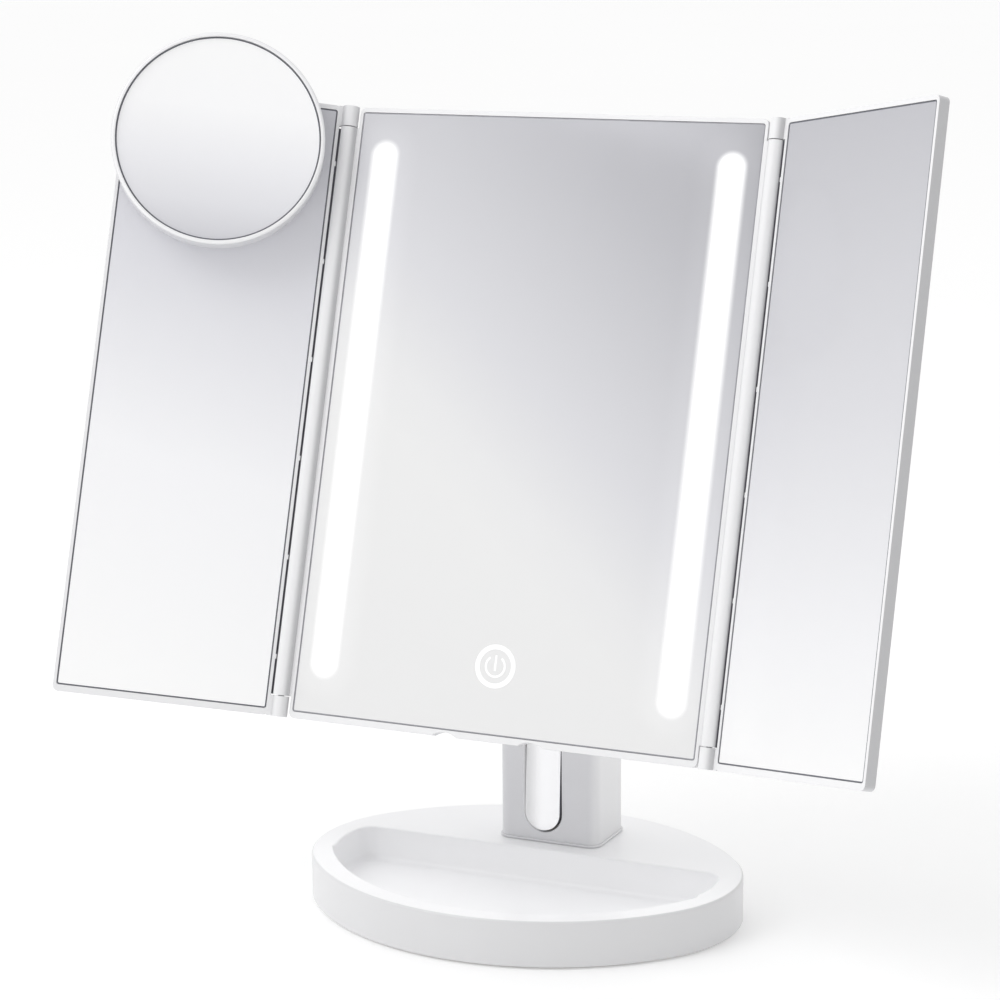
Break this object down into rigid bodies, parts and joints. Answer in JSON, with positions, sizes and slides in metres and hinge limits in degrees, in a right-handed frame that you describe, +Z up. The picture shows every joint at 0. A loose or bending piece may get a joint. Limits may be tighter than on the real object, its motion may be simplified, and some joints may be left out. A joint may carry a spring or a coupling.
{
  "type": "lighted vanity mirror",
  "caption": "Free-standing lighted tabletop mirror with two folding side mirrors, a pull-off magnifying mirror, and a tilting head on a column over a tray base.",
  "frame": {"origin": "centre of the base's underside, where it rests on the table", "axes": "+Z up, -Y towards the user, +X to the right seen from the front"},
  "size_m": [0.3555, 0.158, 0.3573],
  "materials": {
    "white_plastic": "satin gloss",
    "inner_plastic": "matte",
    "steel": "brushed",
    "bright_metal": "polished",
    "rubber": "matte",
    "bush_plastic": "smooth",
    "mirror_glass": "mirror",
    "diffuser": "frosted",
    "circuit_board": "satin",
    "copper_pad": "matte",
    "cell_wrap": "gloss",
    "wire_sheath": "matte",
    "clear_rubber": "smooth"
  },
  "bodies": {
    "stand": {"base_shell": "white_plastic", "base_bottom": "inner_plastic", "base_weight": "steel", "base_feet": "rubber", "base_screws": "bright_metal", "base_post": "inner_plastic", "column_shell": "white_plastic", "column_collar": "white_plastic", "button_pin": "bright_metal", "button_spring": "steel", "pivot_block": "inner_plastic", "pivot_bushes": "bush_plastic"},
    "release_button": {"release_button": "white_plastic"},
    "head": {"tilt_shaft": "bright_metal", "shaft_nut": "bright_metal", "friction_washers": "steel", "tilt_yoke": "white_plastic", "yoke_screws": "bright_metal", "main_frame": "white_plastic", "main_glass": "mirror_glass", "left_diffuser": "diffuser", "right_diffuser": "diffuser", "left_led_board": "circuit_board", "right_led_board": "circuit_board", "touch_sensor": "copper_pad", "control_board": "circuit_board", "usb_socket": "bright_metal", "rear_housing": "white_plastic", "rear_screws": "bright_metal", "battery_cells": "cell_wrap", "battery_contacts": "bright_metal", "wiring": "wire_sheath"},
    "battery_door": {"battery_door": "white_plastic"},
    "left_wing": {"left_wing_frame": "white_plastic", "left_wing_glass": "mirror_glass", "left_wing_back": "white_plastic", "left_hinge_pins": "steel"},
    "right_wing": {"right_wing_frame": "white_plastic", "right_wing_glass": "mirror_glass", "right_wing_back": "white_plastic", "right_hinge_pins": "steel"},
    "spot_mirror": {"spot_housing": "white_plastic", "spot_back": "inner_plastic", "spot_glass": "mirror_glass", "spot_cups": "clear_rubber"}
  },
  "joints": [
    {"name": "mirror_tilt", "type": "hinge", "parent": "stand", "child": "head", "pos_m": [0, 0.039, 0.163], "axis": [-1, 0, 0], "range_deg": [-17.2, 72.8]},
    {"name": "left_wing_fold", "type": "hinge", "parent": "head", "child": "left_wing", "pos_m": [-0.09425, -0.0372, 0.08086], "axis": [0, 0.2957, 0.9553], "range_deg": [-28, 62]},
    {"name": "right_wing_fold", "type": "hinge", "parent": "head", "child": "right_wing", "pos_m": [0.09425, -0.0372, 0.08086], "axis": [0, -0.2957, -0.9553], "range_deg": [-33, 147]},
    {"name": "spot_mirror_pull", "type": "slide", "parent": "left_wing", "child": "spot_mirror", "axis": [0.4695, -0.8435, 0.2611], "range_m": [0, 0.06]},
    {"name": "battery_door_slide", "type": "slide", "parent": "head", "child": "battery_door", "axis": [0, -0.2957, -0.9553], "range_m": [0, 0.055]},
    {"name": "release_press", "type": "hinge", "parent": "stand", "child": "release_button", "pos_m": [-0.002, 0.0309, 0.0835], "axis": [1, 0, 0], "range_deg": [0, 3.6], "stiffness_Nm_per_rad": 2, "springref_deg": -1.72}
  ]
}
